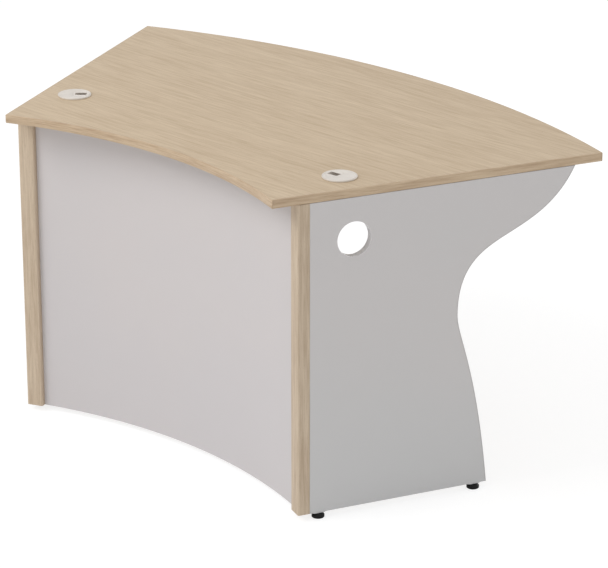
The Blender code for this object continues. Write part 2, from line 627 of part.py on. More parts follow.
def build_fixings(end_name, side):
    """The dowels, cam bolts, cams, steel angle and screws of one end."""
    neck = DOWEL_RADIUS - DOWEL_CHAMFER
    for name, frame, reach in dowel_places(side):
        low = reach - DOWEL_LENGTH
        dowel = bmesh.new()
        add_turned(dowel, [
            (0, low), (neck, low), (DOWEL_RADIUS, low + DOWEL_CHAMFER),
            (DOWEL_RADIUS, reach - DOWEL_CHAMFER), (neck, reach), (0, reach),
        ], BORE_STEPS)
        piece(name + "_" + end_name, dowel, "beech", frame)

    head_low = BOLT_HEAD_END - BOLT_HEAD_LENGTH
    shank_end = CAM_REACH - CAM_RADIUS
    for name, bolt_frame, cam_frame, face in cam_places(side):
        bolt = bmesh.new()
        add_turned(bolt, [
            (0, -BLIND_DEPTH), (BOLT_THREAD_RADIUS, -BLIND_DEPTH), (BOLT_THREAD_RADIUS, FIT_GAP),
            (BOLT_SHANK_RADIUS, FIT_GAP), (BOLT_SHANK_RADIUS, shank_end), (BOLT_NECK_RADIUS, shank_end),
            (BOLT_NECK_RADIUS, head_low), (BOLT_SHANK_RADIUS, head_low),
            (BOLT_SHANK_RADIUS, BOLT_HEAD_END), (0, BOLT_HEAD_END),
        ], BORE_STEPS)
        piece(name.replace("cam", "cam_bolt") + "_" + end_name, bolt, "zinc_steel", bolt_frame)
        housing = bmesh.new()
        add_bore(housing, CAM_RADIUS - FIT_GAP, -CAM_BACK, face, FOOT_STEPS, Matrix())
        made = piece(name + "_" + end_name, housing, "cam_zinc", cam_frame)
        pocket = bmesh.new()
        add_bore(pocket, BOLT_SHANK_RADIUS + FIT_GAP, 0, BOLT_HEAD_END + FIT_GAP, BORE_STEPS, Matrix())
        cut(made, pocket, bolt_frame)

    near = FIT_GAP
    far = FIT_GAP + BRACKET_THICKNESS
    tip = FIT_GAP + BRACKET_LEG
    section = [(near, -near), (tip, -near), (tip, -far), (far, -far), (far, -tip), (near, -tip)]
    angle = bmesh.new()
    add_loft(angle, [[(x, y, z) for x, z in section] for y in (-BRACKET_WIDTH / 2, BRACKET_WIDTH / 2)])
    made = piece("fascia_bracket_" + end_name, angle, "zinc_steel", bracket_frame(side))
    holes = bmesh.new()
    for name, frame in screw_places(side):
        add_bore(holes, SCREW_RADIUS + FIT_GAP, -BRACKET_FACE, CUT_OVERRUN, TINY_STEPS, frame)
        screw = bmesh.new()
        add_turned(screw, [
            (0, SCREW_HEAD_HEIGHT), (SCREW_HEAD_RADIUS / 2, SCREW_HEAD_HEIGHT),
            (SCREW_HEAD_RADIUS, SCREW_HEAD_HEIGHT / 2), (SCREW_HEAD_RADIUS, 0), (SCREW_RADIUS, 0),
            (SCREW_RADIUS, SCREW_RADIUS - SCREW_LENGTH), (0, -SCREW_LENGTH),
        ], TINY_STEPS)
        piece(name + "_" + end_name, screw, "zinc_steel", frame)
    cut(made, holes)


build_worktop()
build_worktop_bands()
build_fascia()
for end, factor in SIDES.items():
    build_side(end, factor)
    build_post(end, factor)
    build_grommet(end, factor)
    for foot, place in foot_frames(factor).items():
        build_foot(foot + "_" + end, place)
    build_fixings(end, factor)
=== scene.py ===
import math

import bmesh
import bpy
from mathutils import Matrix, Vector


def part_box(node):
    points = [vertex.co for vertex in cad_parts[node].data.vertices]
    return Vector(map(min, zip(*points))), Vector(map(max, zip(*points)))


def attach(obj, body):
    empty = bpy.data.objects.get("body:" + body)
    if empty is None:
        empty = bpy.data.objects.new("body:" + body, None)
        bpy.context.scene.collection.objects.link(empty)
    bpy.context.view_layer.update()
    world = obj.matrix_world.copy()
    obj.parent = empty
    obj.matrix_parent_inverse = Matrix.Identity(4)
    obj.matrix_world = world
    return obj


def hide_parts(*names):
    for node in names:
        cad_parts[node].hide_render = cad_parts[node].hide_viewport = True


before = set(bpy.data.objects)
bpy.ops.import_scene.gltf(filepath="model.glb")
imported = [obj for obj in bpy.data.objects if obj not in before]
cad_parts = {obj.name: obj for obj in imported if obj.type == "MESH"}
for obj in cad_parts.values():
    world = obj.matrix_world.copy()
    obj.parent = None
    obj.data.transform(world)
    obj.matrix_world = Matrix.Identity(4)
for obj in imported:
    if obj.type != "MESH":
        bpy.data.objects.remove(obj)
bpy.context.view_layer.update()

# WORKTOP BOARD. A 20 mm chipboard segment of a ring, faced with a pale oak decor whose grain runs
# along the chord. It is sawn and bored on a machining centre. The loaded board has those bores
# already, so it keeps its mesh and gets its decor here.
wander = 0.030
figure_weight = 0.42
fibre_weight = 0.42
plank_weight = 0.16
streak_roughness = 0.10
pore_roughness = 0.14
fibre_relief = 0.35


def seen(red, green, blue, brightest=255, gamma=2.2):
    """A colour as the eye sees it, for a shader."""
    return (*[(value / brightest) ** gamma for value in (red, green, blue)], 1.0)


def put(tree, kind, sockets=None, **settings):
    """Add a shader node, with its settings and with a value or a link on each socket named."""
    made = tree.nodes.new("ShaderNode" + kind)
    for name, value in settings.items():
        setattr(made, name, value)
    for name, value in (sockets or {}).items():
        if isinstance(value, bpy.types.NodeSocket):
            tree.links.new(value, made.inputs[name])
        else:
            made.inputs[name].default_value = value
    return made


def new_group(name, takes, gives):
    """Start a node group, and return its tree, what comes in and what goes out."""
    tree = bpy.data.node_groups.new(name, "ShaderNodeTree")
    for way, sockets in (("INPUT", takes), ("OUTPUT", gives)):
        for label, kind in sockets.items():
            tree.interface.new_socket(label, in_out=way, socket_type="NodeSocket" + kind)
    return tree, tree.nodes.new("NodeGroupInput").outputs, tree.nodes.new("NodeGroupOutput").inputs


def give(group, result, **values):
    """Link what a group gives."""
    for label, value in values.items():
        group.links.new(value, result[label])


def stretched_noise(tree, vector, along, across, detail, rough=0.5, bend=0.0):
    """Noise drawn out along x, by its number of patches in a metre each way."""
    laid = put(tree, "Mapping", {"Vector": vector, "Scale": (along, across, across)})
    return put(tree, "TexNoise", {"Vector": laid.outputs[0], "Scale": 1.0, "Detail": detail,
                                  "Roughness": rough, "Distortion": bend}).outputs["Fac"]


def spread(tree, value, low, high):
    """Stretch a value's range to 0 to 1, with its ends eased."""
    return put(tree, "MapRange", {"Value": value, "From Min": low, "From Max": high},
               interpolation_type="SMOOTHSTEP").outputs["Result"]


def blended(tree, share, first, second):
    """Mix two colours, on the colour sockets of a Mix node."""
    return put(tree, "Mix", {0: share, 6: first, 7: second}, data_type="RGBA").outputs[2]


def worked(tree, operation, first, second=0.0):
    """One step of arithmetic."""
    return put(tree, "Math", {0: first, 1: second}, operation=operation).outputs[0]


def weighed(tree, *pairs):
    """A sum of values, each times its weight."""
    total, *rest = [worked(tree, "MULTIPLY", value, weight) for value, weight in pairs]
    for share in rest:
        total = worked(tree, "ADD", total, share)
    return total


skin_gives = {"Colour": "Color", "Roughness": "Float", "Height": "Float"}
grain, given, result = new_group(
    "Oak grain",
    {"Vector": "Vector", "Pale": "Color", "Brown": "Color", "Streaks": "Float", "Pores": "Float"}, skin_gives)
waver = stretched_noise(grain, given["Vector"], along=1.6, across=5.0, detail=2.0)
drift = put(grain, "CombineXYZ", {"Y": worked(grain, "MULTIPLY", waver, wander)})
line_up = put(grain, "VectorMath", {0: given["Vector"], 1: drift.outputs[0]}, operation="ADD").outputs[0]
planks = stretched_noise(grain, line_up, along=0.5, across=9.0, detail=3.0)
figure = stretched_noise(grain, line_up, along=5.5, across=120.0, detail=5.0, rough=0.6, bend=0.3)
fibre = stretched_noise(grain, line_up, along=16.0, across=420.0, detail=3.0, rough=0.6)
pores = stretched_noise(grain, line_up, along=95.0, across=1700.0, detail=2.0, rough=0.45)
shade = weighed(grain, (spread(grain, figure, low=0.34, high=0.70), figure_weight),
                (spread(grain, fibre, low=0.32, high=0.72), fibre_weight),
                (spread(grain, planks, low=0.35, high=0.68), plank_weight))
shade = worked(grain, "MULTIPLY", shade, given["Streaks"])
pore = worked(grain, "MULTIPLY", spread(grain, pores, low=0.64, high=0.74), given["Pores"])
toned = blended(grain, shade, given["Pale"], given["Brown"])
give(grain, result,
     Colour=blended(grain, pore, toned, seen(122, 96, 72)),
     Roughness=weighed(grain, (shade, streak_roughness), (pore, pore_roughness)),
     Height=worked(grain, "SUBTRACT", worked(grain, "MULTIPLY", fibre, fibre_relief), pore))


def new_material(name, gloss_level):
    """Start a material, and return it with its tree, its shader and its place on the object."""
    made = bpy.data.materials.new(name)
    made.use_nodes = True
    tree = made.node_tree
    shader = tree.nodes["Principled BSDF"]
    shader.inputs["Specular IOR Level"].default_value = gloss_level
    return made, tree, shader, put(tree, "TexCoord").outputs["Object"]


def finished(name, group, levels, sheen, relief, gloss_level, lay=None):
    """A material with a group's colour, its roughness and a sheen added, and a relief of so many
    metres. lay turns the place on the object so that its x runs along the grain."""
    made, tree, shader, place = new_material(name, gloss_level)
    if lay:
        place = lay(tree, place)
    skin = put(tree, "Group", {"Vector": place, **levels}, node_tree=group).outputs
    bump = put(tree, "Bump", {"Height": skin["Height"], "Distance": relief, "Strength": 1.0})
    tree.links.new(skin["Colour"], shader.inputs["Base Color"])
    tree.links.new(worked(tree, "ADD", skin["Roughness"], sheen), shader.inputs["Roughness"])
    tree.links.new(bump.outputs[0], shader.inputs["Normal"])
    return made


def oak(name, pale, brown, streaks, pores, sheen, relief, lay=None):
    """An oak finish."""
    return finished(name, grain, {"Pale": pale, "Brown": brown, "Streaks": streaks, "Pores": pores},
                    sheen, relief, gloss_level=0.35, lay=lay)


oak_decor = oak("oak_decor", pale=seen(206, 185, 156), brown=seen(172, 148, 118), streaks=0.85, pores=0.45,
                sheen=0.42, relief=0.00006)
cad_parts["worktop_board"].material_slots[0].material = oak_decor

# EDGE BANDS. A strip of oak decor plastic is glued round the board: 3 mm thick, with its arrises
# rounded by a 2 mm cutter. The curved strips turn both corners, and a straight one lies between
# them at each radial end.
board_low, board_high = (corner.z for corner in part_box("worktop_board"))
inner_radius = 1.120
outer_radius = 1.915
half_angle = math.radians(22.5)
arc_centre = Vector((0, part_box("worktop_edge_rear")[1].y - outer_radius, 0))
both_ends = (("right", 1), ("left", -1))
band = 0.003
gap = 0.0003  # left between two pieces
hair = 0.00005  # places as near as this are the same
corner_radius = 0.0026
corner_steps = 6
arris_radius = 0.0020
arris_steps = 4
sawn_over = math.radians(1.0)  # swept past the ends, then sawn off
least_corner = math.radians(30)  # a bend that is a real corner
least_softened = math.radians(38)  # a bend that is eased
doubled = 0.000002  # corners as near as this are merged
sliver = 0.00001  # edges as short as this go before a piece is eased
arc_stretch = 1.5


def end_frame(side):
    """A frame at the arcs' centre: x out along a radial end, and side * y from its face inwards."""
    return Matrix.Translation(arc_centre) @ Matrix.Rotation(math.pi / 2 - side * half_angle, 4, "Z")


def pick(piece):
    """Select one piece alone, and make it the active one."""
    bpy.ops.object.select_all(action="DESELECT")
    piece.select_set(True)
    bpy.context.view_layer.objects.active = piece


def apply_place(piece):
    """Put a piece's place, turn and size into its mesh."""
    pick(piece)
    bpy.ops.object.transform_apply(location=True, rotation=True, scale=True)


def move_into(piece, here):
    """Put a piece in a frame, and that place into its mesh."""
    piece.matrix_world = here
    apply_place(piece)


def add(name, primitive, **size):
    """Add a primitive, with nothing else selected, and name it."""
    bpy.ops.object.select_all(action="DESELECT")
    primitive(**size)
    made = bpy.context.object
    made.name = made.data.name = name
    return made


def block(name, size, middle=(0, 0, 0), turn=0.0):
    """A block of a size round its middle, turned about an upright axis."""
    made = add(name, bpy.ops.mesh.primitive_cube_add, size=1, location=middle, rotation=(0, 0, turn))
    made.scale = size
    apply_place(made)
    return made


def run_of(edge):
    """The way from one end of an edge to the other."""
    return edge.verts[1].co - edge.verts[0].co


def is_upright(edge):
    """True for an edge that runs up more than along."""
    return abs(run_of(edge).z) > run_of(edge).xy.length


def is_edge_of_shape(edge):
    """True where two faces meet at a real corner."""
    return edge.is_manifold and edge.calc_face_angle() > least_corner


def choose(kind, test):
    """In edit mode, select just the corners, edges or faces whose middle passes a test."""
    bpy.ops.mesh.select_mode(type=kind)
    bpy.ops.mesh.select_all(action="DESELECT")
    shape = bmesh.from_edit_mesh(bpy.context.object.data)
    shape.normal_update()
    for item in {"VERT": shape.verts, "EDGE": shape.edges, "FACE": shape.faces}[kind]:
        ends = [item] if kind == "VERT" else item.verts
        middle = sum((end.co for end in ends), Vector()) / len(ends)
        if test(middle, item):
            item.select_set(True)
    shape.select_flush_mode()
    bmesh.update_edit_mesh(bpy.context.object.data)


def tidy_mesh():
    """In edit mode, merge doubled corners and turn every face outwards."""
    bpy.ops.mesh.select_all(action="SELECT")
    bpy.ops.mesh.remove_doubles(threshold=doubled)
    bpy.ops.mesh.normals_make_consistent(inside=False)


def round_off(piece, width, steps, test):
    """Round the edges of a piece that pass a test."""
    pick(piece)
    bpy.ops.object.mode_set(mode="EDIT")
    choose("EDGE", test)
    bpy.ops.mesh.bevel(offset=width, segments=steps, affect="EDGES", clamp_overlap=False)
    tidy_mesh()
    bpy.ops.object.mode_set(mode="OBJECT")


def swept(name, near, far, low, high, inset, steps=100):
    """Sweep an upright rectangle round the arcs' centre, and saw both ends off parallel to the
    counter's radial ends, at an inset from them."""
    made = add(name, bpy.ops.mesh.primitive_plane_add, size=1, rotation=(0, math.pi / 2, 0))
    made.scale = (high - low, far - near, 1)
    made.location = (0, (near + far) / 2, (low + high) / 2)
    apply_place(made)
    bpy.ops.object.mode_set(mode="EDIT")
    bpy.ops.mesh.delete(type="ONLY_FACE")
    bpy.ops.mesh.select_all(action="SELECT")
    reach = half_angle + sawn_over
    bpy.ops.transform.rotate(value=reach, orient_axis="Z", center_override=(0, 0, 0))
    bpy.ops.transform.translate(value=arc_centre)
    bpy.ops.mesh.spin(steps=steps, angle=-2 * reach, center=arc_centre, axis=(0, 0, 1))
    for side in (1, -1):
        outwards = Vector((side * math.cos(half_angle), -math.sin(half_angle), 0))
        bpy.ops.mesh.select_all(action="SELECT")
        bpy.ops.mesh.bisect(plane_co=arc_centre - inset * outwards, plane_no=outwards,
                            use_fill=True, clear_outer=True)
    tidy_mesh()
    bpy.ops.object.mode_set(mode="OBJECT")
    return made


def soften(piece, width, steps=2):
    """Round every real corner of a piece a little, and shade its curved faces smooth."""
    pick(piece)
    bpy.ops.object.mode_set(mode="EDIT")
    bpy.ops.mesh.select_all(action="SELECT")
    bpy.ops.mesh.dissolve_degenerate(threshold=sliver)
    bpy.ops.mesh.remove_doubles(threshold=sliver)
    bpy.ops.object.mode_set(mode="OBJECT")
    bpy.ops.object.shade_smooth()
    if width:
        bevel = piece.modifiers.new("soft edges", "BEVEL")
        bevel.width = width
        bevel.segments = steps
        bevel.limit_method = "ANGLE"
        bevel.angle_limit = least_softened
        bevel.harden_normals = True
        bpy.ops.object.modifier_apply(modifier=bevel.name)
    else:
        bpy.ops.object.shade_smooth_by_angle(angle=least_corner)


def dress(piece, material, body, node):
    """Give a piece its one material, hide the loaded part it replaces, and attach it to what it moves with.
    """
    piece.data.materials.clear()
    piece.data.materials.append(material)
    for face in piece.data.polygons:
        face.material_index = 0
    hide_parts(node)
    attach(piece, body)


arc_place, given, result = new_group("Place along the arcs", {"Vector": "Vector"}, {"Vector": "Vector"})
parts = put(arc_place, "SeparateXYZ", {"Vector": given["Vector"]}).outputs
depth = worked(arc_place, "SUBTRACT", parts["Y"], arc_centre.y)
turn = worked(arc_place, "ARCTAN2", parts["X"], depth)
radius = worked(arc_place, "SQRT", worked(arc_place, "ADD", worked(arc_place, "POWER", parts["X"], 2.0),
                                          worked(arc_place, "POWER", depth, 2.0)))
laid_out = put(arc_place, "CombineXYZ", {"X": worked(arc_place, "MULTIPLY", turn, arc_stretch), "Y": radius,
                                         "Z": parts["Z"]})
give(arc_place, result, Vector=laid_out.outputs[0])


def along_arc(tree, place):
    """Grain that follows the arcs."""
    return put(tree, "Group", {"Vector": place}, node_tree=arc_place).outputs[0]


def grain_laid(**mapping):
    """Grain that is turned or drawn out as a mapping says."""
    return lambda tree, place: put(tree, "Mapping", {"Vector": place, **mapping}).outputs[0]


def edge_oak(name, lay):
    """The oak decor of the bands."""
    return oak(name, pale=seen(208, 186, 157), brown=seen(170, 144, 117), streaks=1.1, pores=0.25,
               sheen=0.36, relief=0.00004, lay=lay)


oak_edge = edge_oak("oak_edge", along_arc)
for name, node, face_radius, inwards in (("front_edge_band", "worktop_edge_front", inner_radius, 1),
                                         ("rear_edge_band", "worktop_edge_rear", outer_radius, -1)):
    back_radius = face_radius + inwards * band
    strip = swept(name, min(face_radius, back_radius), max(face_radius, back_radius),
                  board_low, board_high, inset=0.0)
    round_off(strip, corner_radius, corner_steps,
              lambda middle, edge: is_upright(edge) and is_edge_of_shape(edge)
              and abs((middle - arc_centre).xy.length - face_radius) < band / 4)
    round_off(strip, arris_radius, arris_steps,
              lambda middle, edge: not is_upright(edge) and is_edge_of_shape(edge)
              and inwards * (back_radius - (middle - arc_centre).xy.length) > hair)
    soften(strip, 0)
    dress(strip, oak_edge, "counter", node)

for name, side in both_ends:
    start, stop = inner_radius + band + gap, outer_radius - band - gap
    strip = block("end_edge_band_" + name, (stop - start, band, board_high - board_low),
                  ((start + stop) / 2, side * band / 2, (board_low + board_high) / 2))
    round_off(strip, arris_radius, arris_steps,
              lambda middle, edge: abs(middle.y) < hair and abs(run_of(edge).x) > band)
    move_into(strip, end_frame(side))
    soften(strip, 0)
    straight = grain_laid(Rotation=(0, 0, -math.pi / 2 + side * half_angle))
    dress(strip, edge_oak("oak_edge_" + name, straight), "counter", "worktop_edge_" + name)

# CABLE GROMMETS. Three off-white mouldings each: a flanged liner pressed into the worktop, a lid
# with a short skirt that drops into it, and a smaller slotted disc that turns in the lid, off its
# middle. Turning the two brings the slot to where the cable rises.
flange_radius = 0.039
flange_rise = 0.0036
flange_rim = 0.0020
flange_round = ((0, 0.0012), (0.0003, 0.0005), (0.0009, 0))
ledge = 0.0011
sleeve_radius = 0.0345
sleeve_bore = 0.0325
sleeve_depth = 0.018
skirt_wall = 0.0014
skirt_depth = 0.006
disc_offset = 0.0151
disc_radius = 0.0195
disc_seat = 0.00228
hub_radius = 0.0170
hub_wall = 0.0010
hub_depth = 0.0030
opening_lead = 0.0002
cutter_low, cutter_high = -0.02, 0.01
slot_size = (0.027, 0.0165)
slot_cutter = 0.04
slot_corner = 0.0012
slot_steps = 4
moulded_edge = 0.00022
lid_edge = 0.00018
lid_turns = {"left": math.radians(42.0), "right": math.radians(184.0)}
cloud_weight = 0.7
cloud_roughness = 0.12


def drawn_line(name, first, moves):
    """Draw a line corner by corner from its first place, and stay in edit mode."""
    made = add(name, bpy.ops.mesh.primitive_plane_add, size=0.001)
    bpy.ops.object.mode_set(mode="EDIT")
    bpy.ops.mesh.select_mode(type="VERT")
    bpy.ops.mesh.select_all(action="SELECT")
    bpy.ops.mesh.merge(type="CENTER")
    bpy.ops.transform.translate(value=first)
    for move in moves:
        bpy.ops.mesh.extrude_vertices_move(TRANSFORM_OT_translate={"value": move})
    return made


def turned(name, outline, here, steps=96):
    """Draw half of a section, as (radius, height), and spin it round an upright axis. A section
    that starts off the axis ends where it starts."""
    made = drawn_line(name, (outline[0][0], 0, outline[0][1]),
                      [(next_radius - radius, 0, next_height - height)
                       for (radius, height), (next_radius, next_height) in zip(outline, outline[1:])])
    bpy.ops.mesh.select_all(action="SELECT")
    bpy.ops.mesh.spin(steps=steps, angle=2 * math.pi, center=(0, 0, 0), axis=(0, 0, 1))
    tidy_mesh()
    bpy.ops.object.mode_set(mode="OBJECT")
    move_into(made, here)
    return made


def combine(piece, operation, others):
    """Cut other solids out of a piece, or join them to it, one after the other, and remove them."""
    for other in others:
        boolean = piece.modifiers.new("boolean", "BOOLEAN")
        boolean.operation = operation
        boolean.solver = "EXACT"
        boolean.object = other
        bpy.context.view_layer.objects.active = piece
        bpy.ops.object.modifier_apply(modifier=boolean.name)
        bpy.data.objects.remove(other)


def cut_out(piece, *cutters):
    """Cut shapes out of a piece."""
    combine(piece, "DIFFERENCE", cutters)


def middle_of(node):
    """The middle of a node's box."""
    low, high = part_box(node)
    return (low + high) / 2


mould, given, result = new_group(
    "Moulded plastic",
    {"Vector": "Vector", "Colour": "Color", "Tint": "Color", "Grain": "Float", "Scuffs": "Float"}, skin_gives)
cloud = put(mould, "TexNoise", {"Vector": given["Vector"], "Scale": 38.0, "Detail": 3.0}).outputs["Fac"]
spark = put(mould, "TexVoronoi", {"Vector": given["Vector"], "Scale": given["Grain"]}).outputs["Distance"]
rub = stretched_noise(mould, given["Vector"], along=90.0, across=900.0, detail=3.0)
rubbed = worked(mould, "MULTIPLY", spread(mould, rub, low=0.60, high=0.74), given["Scuffs"])
flow = worked(mould, "MULTIPLY", spread(mould, cloud, low=0.3, high=0.7), cloud_weight)
give(mould, result,
     Colour=blended(mould, worked(mould, "ADD", flow, rubbed), given["Colour"], given["Tint"]),
     Roughness=worked(mould, "ADD", worked(mould, "MULTIPLY", cloud, cloud_roughness), rubbed),
     Height=worked(mould, "ADD", spark, rubbed))


def plastic(name, colour, tint, cells, scuffs, sheen, relief, gloss_level=0.5):
    """A moulded finish, with a fine spark-eroded grain of so many cells in a metre."""
    return finished(name, mould, {"Colour": colour, "Tint": tint, "Grain": cells, "Scuffs": scuffs},
                    sheen, relief, gloss_level)


grommet_white = plastic("grommet_white", colour=seen(221, 214, 205), tint=seen(210, 202, 193), cells=2600.0,
                        scuffs=0.10, sheen=0.34, relief=0.00003)
liner_line = [
    (flange_radius, gap), *[(flange_radius - inwards, flange_rise - down) for inwards, down in flange_round],
    (flange_radius - flange_rim, flange_rise), (flange_radius - flange_rim, ledge), (sleeve_bore, ledge),
    (sleeve_bore, -sleeve_depth), (sleeve_radius, -sleeve_depth), (sleeve_radius, gap), (flange_radius, gap)]
seat = ledge + gap
skirt = sleeve_bore - gap
rim = flange_radius - flange_rim - gap
lid_line = [
    (0, seat), (skirt - skirt_wall, seat), (skirt - skirt_wall, seat - skirt_depth),
    (skirt, seat - skirt_depth), (skirt, seat), (rim, seat), (rim, flange_rise), (0, flange_rise)]
opening = disc_radius + gap
opening_line = [
    (0, cutter_low), (hub_radius + gap, cutter_low), (hub_radius + gap, disc_seat), (opening, disc_seat),
    (opening, flange_rise - opening_lead), (opening + opening_lead, flange_rise),
    (opening + opening_lead, cutter_high), (0, cutter_high)]
disc_low = disc_seat + gap
hub_low = disc_seat - hub_depth
disc_line = [
    (0, disc_low), (hub_radius - hub_wall, disc_low), (hub_radius - hub_wall, hub_low), (hub_radius, hub_low),
    (hub_radius, disc_low), (disc_radius, disc_low), (disc_radius, flange_rise), (0, flange_rise)]

for name in ("left", "right"):
    spot = middle_of("grommet_liner_" + name)
    spot.z = board_high
    here = Matrix.Translation(spot)
    liner = turned("grommet_ring_" + name, liner_line, here)
    soften(liner, moulded_edge)
    dress(liner, grommet_white, "counter", "grommet_liner_" + name)

    lid_here = here @ Matrix.Rotation(lid_turns[name], 4, "Z")
    disc_here = lid_here @ Matrix.Translation((disc_offset, 0, 0))
    lid = turned("grommet_cap_" + name, lid_line, lid_here)
    soften(lid, lid_edge)
    cut_out(lid, turned("opening", opening_line, disc_here))
    soften(lid, 0)
    dress(lid, grommet_white, "lid_" + name, "grommet_lid_" + name)

    disc = turned("grommet_dial_" + name, disc_line, disc_here)
    slot = block("slot", (*slot_size, slot_cutter))
    round_off(slot, slot_corner, slot_steps, lambda middle, edge: is_upright(edge))
    move_into(slot, disc_here)
    cut_out(disc, slot)
    soften(disc, moulded_edge)
    dress(disc, grommet_white, "disc_" + name, "grommet_disc_" + name)

# POSTS. A 28 x 40 mm chipboard strip, wrapped in oak foil, stands at each end of the front. Its
# two front edges are rounded to 4 mm. It is bored for the dowels and the bolt that hold the
# fascia, and for the dowels of the side panel behind it.
post_front = 1.180
post_back = 1.208
post_width = 0.040
post_edge = 0.004
post_edge_steps = 8
board_ease = 0.0003
upright_low, upright_high = (corner.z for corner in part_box("post_right"))
upwards = Vector((0, 0, 1))
heights = ("lower", "upper")
dowel_bore = 0.0043
bolt_thread_bore = 0.0028
bored_over = 0.0006


def end_ways(side):
    """The directions out along a radial end, and inwards from its face."""
    turned_by = end_frame(side).to_3x3()
    return turned_by @ Vector((1, 0, 0)), turned_by @ Vector((0, side, 0))


def length_along(node, direction, radius):
    """The length of a round thing that fills a node's box, along its direction."""
    low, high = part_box(node)
    ways = [abs(part) for part in direction]
    longest = ways.index(max(ways))
    return ((high - low)[longest] - 2 * radius * math.sqrt(1 - ways[longest] ** 2)) / ways[longest]


def rod(name, radius, length, middle=(0, 0, 0), steps=64, turn=(0, 0, 0)):
    """A round rod, upright until it is turned."""
    return add(name, bpy.ops.mesh.primitive_cylinder_add, vertices=steps, radius=radius, depth=length,
               location=middle, rotation=turn)


def bore(node, direction, bore_radius, steps=32):
    """A round cutter where a hidden fixing lies, along its direction."""
    return rod("bore", bore_radius, length_along(node, direction, bore_radius) + bored_over,
               middle_of(node), steps, direction.to_track_quat("Z", "Y").to_euler())


def bores(pattern, places, direction, bore_radius, steps=32):
    """A cutter for the fixing at each of the places, whose names the pattern takes."""
    return [bore(pattern.format(place), direction, bore_radius, steps) for place in places]


def copied(piece, name):
    """A copy of a piece, with a mesh of its own."""
    other = piece.copy()
    other.data = piece.data.copy()
    other.name = other.data.name = name
    bpy.context.scene.collection.objects.link(other)
    return other


def mirrored(piece, name):
    """The same piece for the other end."""
    other = copied(piece, name)
    other.scale.x = -1
    apply_place(other)
    bpy.ops.object.mode_set(mode="EDIT")
    bpy.ops.mesh.select_all(action="SELECT")
    bpy.ops.mesh.normals_make_consistent(inside=False)
    bpy.ops.object.mode_set(mode="OBJECT")
    return other


oak_post = oak("oak_post", pale=seen(207, 189, 166), brown=seen(173, 152, 129), streaks=1.05, pores=0.40,
               sheen=0.46, relief=0.00005, lay=grain_laid(Rotation=(0, math.pi / 2, 0)))
out_right, in_right = end_ways(1)
post = block("front_post_right", (post_back - post_front, post_width, upright_high - upright_low),
             ((post_front + post_back) / 2, post_width / 2, (upright_low + upright_high) / 2))
round_off(post, post_edge, post_edge_steps,
          lambda middle, edge: is_upright(edge) and middle.x < post_front + post_edge)
move_into(post, end_frame(1))
cut_out(post,
        *bores("post_dowel_{}_right", heights, out_right, dowel_bore),
        *bores("fascia_dowel_{}_right", heights, in_right, dowel_bore),
        bore("fascia_cam_bolt_right", in_right, bolt_thread_bore))
for piece, node in ((mirrored(post, "front_post_left"), "post_left"), (post, "post_right")):
    soften(piece, board_ease)
    dress(piece, oak_post, "counter", node)

# FASCIA. The curved front is a 15 mm bent board faced with light warm grey laminate, 13 mm behind
# the posts' fronts and flush with their backs. Dowels and one cam fitting hold each end to its
# post.
fascia_front = 1.193
fascia_inset = 0.0403
fascia_ease = 0.0002
bolt_shank_bore = 0.0038
cam_bore = 0.0075
cam_steps = 64
screw_bore = 0.00205
broad_weight = 0.35
pearl_weight = 0.20
pearl_roughness = 0.14
low_part_roughness = 0.10
painted_shade_height = 0.45

melamine, given, result = new_group(
    "Grey facing",
    {"Vector": "Vector", "Colour": "Color", "Cool": "Color", "Pearls": "Float", "Dust": "Float"}, skin_gives)
broad = put(melamine, "TexNoise", {"Vector": given["Vector"], "Scale": 2.2, "Detail": 2.0}).outputs["Fac"]
pearl = put(melamine, "TexNoise", {"Vector": given["Vector"], "Scale": given["Pearls"], "Detail": 3.0,
                                   "Roughness": 0.6}).outputs["Fac"]
height_up = put(melamine, "SeparateXYZ", {"Vector": given["Vector"]}).outputs["Z"]
# Painted shade: towards the floor, from about 0.45 m down, the facing is blended into its cool grey and made
# a little rougher.
painted_low_shade = worked(melamine, "MULTIPLY", spread(melamine, height_up, low=painted_shade_height, high=0.0), given["Dust"])
tone = weighed(melamine, (spread(melamine, broad, low=0.3, high=0.7), broad_weight),
               (spread(melamine, pearl, low=0.35, high=0.65), pearl_weight))
face = blended(melamine, tone, given["Colour"], given["Cool"])
give(melamine, result,
     Colour=blended(melamine, painted_low_shade, face, given["Cool"]),
     Roughness=weighed(melamine, (pearl, pearl_roughness), (painted_low_shade, low_part_roughness)),
     Height=pearl)


def facing(name, colour, cool, pearls, low_shade, sheen, relief=0.00002):
    """A matt melamine finish, with a fine pearl of so many cells in a metre, and painted shade towards the
    floor.
    """
    return finished(name, melamine, {"Colour": colour, "Cool": cool, "Pearls": pearls, "Dust": low_shade},
                    sheen, relief, gloss_level=0.4)


fascia_grey = facing("fascia_grey", colour=seen(205, 199, 198), cool=seen(199, 196, 198), pearls=1500.0,
                     low_shade=0.3, sheen=0.44)
fascia = swept("curved_fascia", fascia_front, post_back, upright_low, upright_high, fascia_inset)
for name, side in both_ends:
    outwards, inwards = end_ways(side)
    screw_way = (middle_of("fascia_screw_" + name) - arc_centre).to_2d().normalized().to_3d()
    cut_out(fascia,
            *bores("fascia_dowel_{}_" + name, heights, inwards, dowel_bore),
            bore("fascia_cam_bolt_" + name, inwards, bolt_shank_bore),
            bore("fascia_cam_" + name, outwards, cam_bore, cam_steps),
            bore("fascia_screw_" + name, screw_way, screw_bore))
soften(fascia, fascia_ease)
dress(fascia, fascia_grey, "counter", "fascia_panel")

